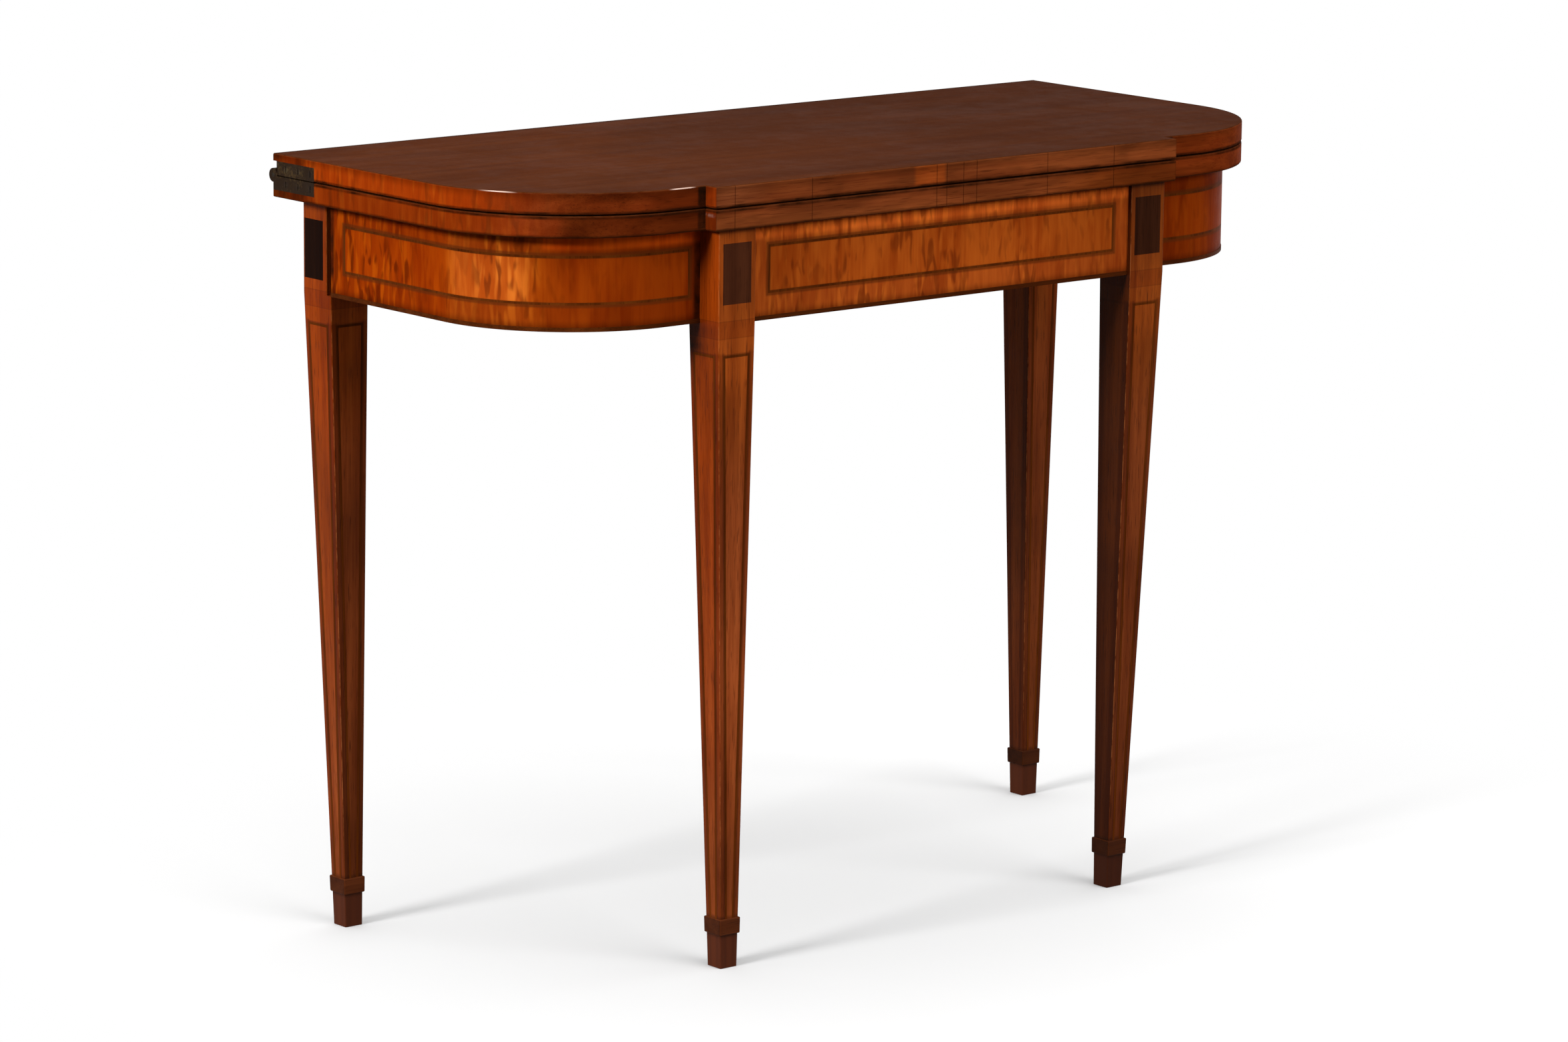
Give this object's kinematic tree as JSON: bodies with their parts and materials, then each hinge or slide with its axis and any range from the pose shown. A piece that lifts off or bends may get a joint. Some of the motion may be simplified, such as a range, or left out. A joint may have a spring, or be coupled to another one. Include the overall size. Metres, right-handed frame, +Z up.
{
  "type": "demilune card table",
  "caption": "Fold-over side table with a breakfront D-shaped top, an inlaid frieze and square tapered legs; the top leaf opens on end hinges over rear legs that swing out.",
  "frame": {"origin": "on the floor, under the middle of the closed table's bounding box", "axes": "+X along the table's width to the right seen from the front, +Y from the front to the back, +Z up"},
  "size_m": [0.953, 0.4232, 0.737],
  "materials": {
    "top_mahogany": "polished, satin gloss",
    "baize": "felted wool, matt",
    "frieze_veneer": "figured veneer, polished",
    "leg_mahogany": "polished",
    "carcass_wood": "planed, unpolished",
    "stringing": "dark string, polished",
    "edge_banding": "polished",
    "collar_wood": "dark, polished",
    "tablet_veneer": "dark veneer, polished",
    "hinge_metal": "dark, tarnished",
    "pin_metal": "worn",
    "screw_metal": "dark, tarnished"
  },
  "bodies": {
    "carcass": {"lower_leaf": "top_mahogany", "baize_lower": "baize", "front_rail": "frieze_veneer", "left_bow_rail": "frieze_veneer", "right_bow_rail": "frieze_veneer", "left_front_leg": "leg_mahogany", "right_front_leg": "leg_mahogany", "inner_back_rail": "carcass_wood", "knuckle_block": "carcass_wood", "glue_blocks": "carcass_wood", "left_brace": "carcass_wood", "right_brace": "carcass_wood", "front_rail_stringing": "stringing", "left_bow_stringing": "stringing", "right_bow_stringing": "stringing", "left_front_leg_stringing": "stringing", "right_front_leg_stringing": "stringing", "front_rail_banding": "edge_banding", "left_bow_banding": "edge_banding", "right_bow_banding": "edge_banding", "left_front_collar": "collar_wood", "right_front_collar": "collar_wood", "left_front_tablet": "tablet_veneer", "right_front_tablet": "tablet_veneer", "left_hinge_lower_plate": "hinge_metal", "right_hinge_lower_plate": "hinge_metal", "left_hinge_pin": "pin_metal", "right_hinge_pin": "pin_metal", "left_knuckle_pin": "pin_metal", "right_knuckle_pin": "pin_metal", "hinge_screws_lower": "screw_metal", "block_screws": "screw_metal", "top_screws": "screw_metal"},
    "leaf": {"upper_leaf": "top_mahogany", "baize_upper": "baize", "left_hinge_upper_plate": "hinge_metal", "right_hinge_upper_plate": "hinge_metal", "hinge_screws_upper": "screw_metal"},
    "left_fly": {"left_fly_rail": "carcass_wood", "left_rear_leg": "leg_mahogany", "left_rear_leg_stringing": "stringing", "left_rear_collar": "collar_wood", "left_rear_tablet": "tablet_veneer"},
    "right_fly": {"right_fly_rail": "carcass_wood", "right_rear_leg": "leg_mahogany", "right_rear_leg_stringing": "stringing", "right_rear_collar": "collar_wood", "right_rear_tablet": "tablet_veneer"}
  },
  "joints": [
    {"name": "leaf_hinge", "type": "hinge", "parent": "carcass", "child": "leaf", "pos_m": [0, 0.20515, 0.7165], "axis": [-1, 0, 0], "range_deg": [0, 180]},
    {"name": "left_fly_hinge", "type": "hinge", "parent": "carcass", "child": "left_fly", "pos_m": [-0.06, 0.15635, 0.655], "axis": [0, 0, -1], "range_deg": [0, 85]},
    {"name": "right_fly_hinge", "type": "hinge", "parent": "carcass", "child": "right_fly", "pos_m": [0.06, 0.15635, 0.655], "axis": [0, 0, 1], "range_deg": [0, 85]}
  ]
}
